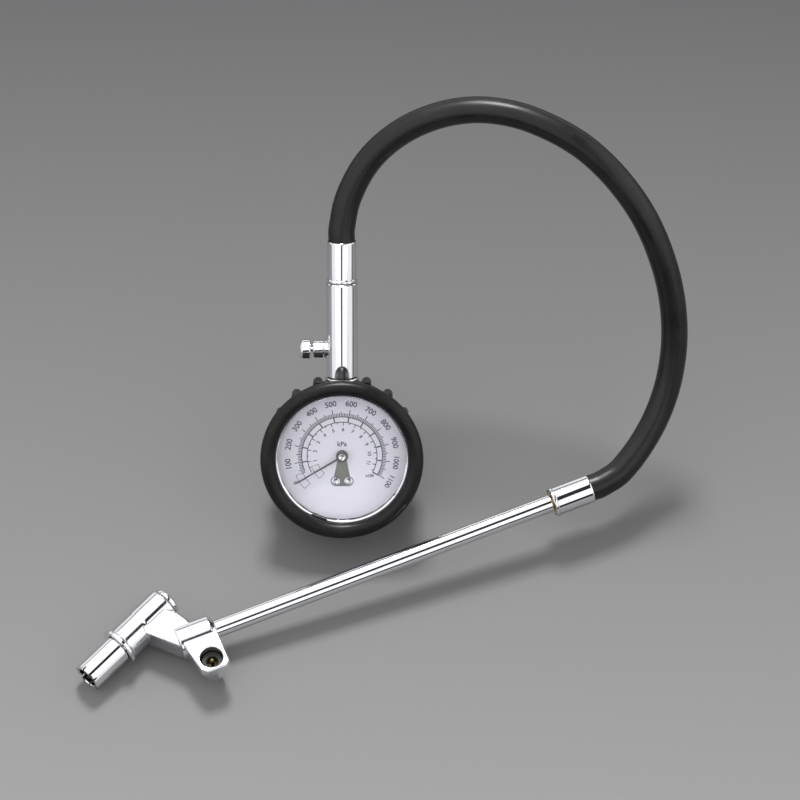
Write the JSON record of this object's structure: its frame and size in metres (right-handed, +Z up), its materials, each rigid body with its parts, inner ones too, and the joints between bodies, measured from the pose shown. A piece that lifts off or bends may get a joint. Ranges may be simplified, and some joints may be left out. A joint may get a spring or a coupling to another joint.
{
  "type": "truck tyre pressure gauge",
  "caption": "Dial tyre pressure gauge in a rubber boot, with a bleeder stem, a black hose and a chrome lance that ends in a straight nozzle and a reverse port.",
  "frame": {"origin": "centre of the footprint, on the surface it stands on, the hose left out", "axes": "+Z up, +X along the longer side, from the nozzle towards the hose; the dial faces -Y and up"},
  "size_m": [0.2555, 0.2053, 0.1456],
  "materials": {
    "chrome": "polished chrome plate",
    "boot_rubber": "satin moulded",
    "hose_rubber": "smooth satin",
    "gasket_rubber": "matt",
    "brass": "machined",
    "steel": "plain",
    "dial_white": "matt print",
    "pointer_black": "satin",
    "lens_clear": "clear"
  },
  "bodies": {
    "root": {"boot": "boot_rubber", "gauge_case": "steel", "lens_gasket": "boot_rubber", "lens": "lens_clear", "bezel_ring": "chrome", "dial_plate": "dial_white", "movement_bridge": "steel", "movement_plate": "brass", "pillar_left": "brass", "dial_screw_left": "steel", "pillar_right": "brass", "dial_screw_right": "steel", "sector_pin": "steel", "hairspring": "brass", "bourdon_tube": "brass", "tip_link": "brass", "gauge_socket": "brass", "plate_screw_left": "steel", "plate_screw_right": "steel", "stem_collar": "chrome", "stem_body": "chrome", "check_spring": "steel", "bleeder_sleeve": "chrome", "bleeder_spring": "steel", "hose_barb_gauge": "brass", "ferrule_gauge": "chrome", "nozzle": "chrome", "nozzle_ring": "chrome", "nozzle_gasket": "gasket_rubber", "nozzle_spring": "steel", "barrel_plug": "chrome", "hose_barb_lance": "brass", "ferrule_lance": "chrome", "lance_tube": "chrome", "lance_washer": "boot_rubber", "chuck_head": "chrome", "port_gasket": "gasket_rubber", "port_spring": "steel", "hose": "hose_rubber"},
    "pointer_set": {"pointer": "pointer_black", "pointer_arbor": "brass"},
    "sector": {"sector_gear": "brass"},
    "bleeder": {"bleeder_button": "chrome", "bleeder_seal": "boot_rubber"},
    "check_valve": {"check_ball": "steel"},
    "nozzle_valve": {"nozzle_plunger": "brass"},
    "port_valve": {"port_plunger": "brass"}
  },
  "joints": [
    {"name": "pointer_turn", "type": "hinge", "parent": "root", "child": "pointer_set", "pos_m": [0.0016, 0.0112, 0.03489], "axis": [0, 0.7431, -0.6691], "range_deg": [0, 240]},
    {"name": "sector_swing", "type": "hinge", "parent": "root", "child": "sector", "pos_m": [-0.01226, 0.00687, 0.03008], "axis": [0, -0.7431, 0.6691], "range_deg": [0, 30]},
    {"name": "bleeder_press", "type": "slide", "parent": "root", "child": "bleeder", "axis": [1, 0, 0], "range_m": [0, 0.0008], "stiffness_N_per_m": 600},
    {"name": "check_lift", "type": "slide", "parent": "root", "child": "check_valve", "axis": [0, -0.6691, -0.7431], "range_m": [0, 0.0015], "stiffness_N_per_m": 80},
    {"name": "nozzle_push", "type": "slide", "parent": "root", "child": "nozzle_valve", "axis": [0.6777, 0.733, 0.0582], "range_m": [0, 0.002], "stiffness_N_per_m": 400},
    {"name": "port_push", "type": "slide", "parent": "root", "child": "port_valve", "axis": [0.06, 0.0239, -0.9979], "range_m": [0, 0.0012], "stiffness_N_per_m": 400}
  ],
  "couplings": [
    {"joint": "sector_swing", "follows": "pointer_turn", "ratio": 0.125}
  ]
}
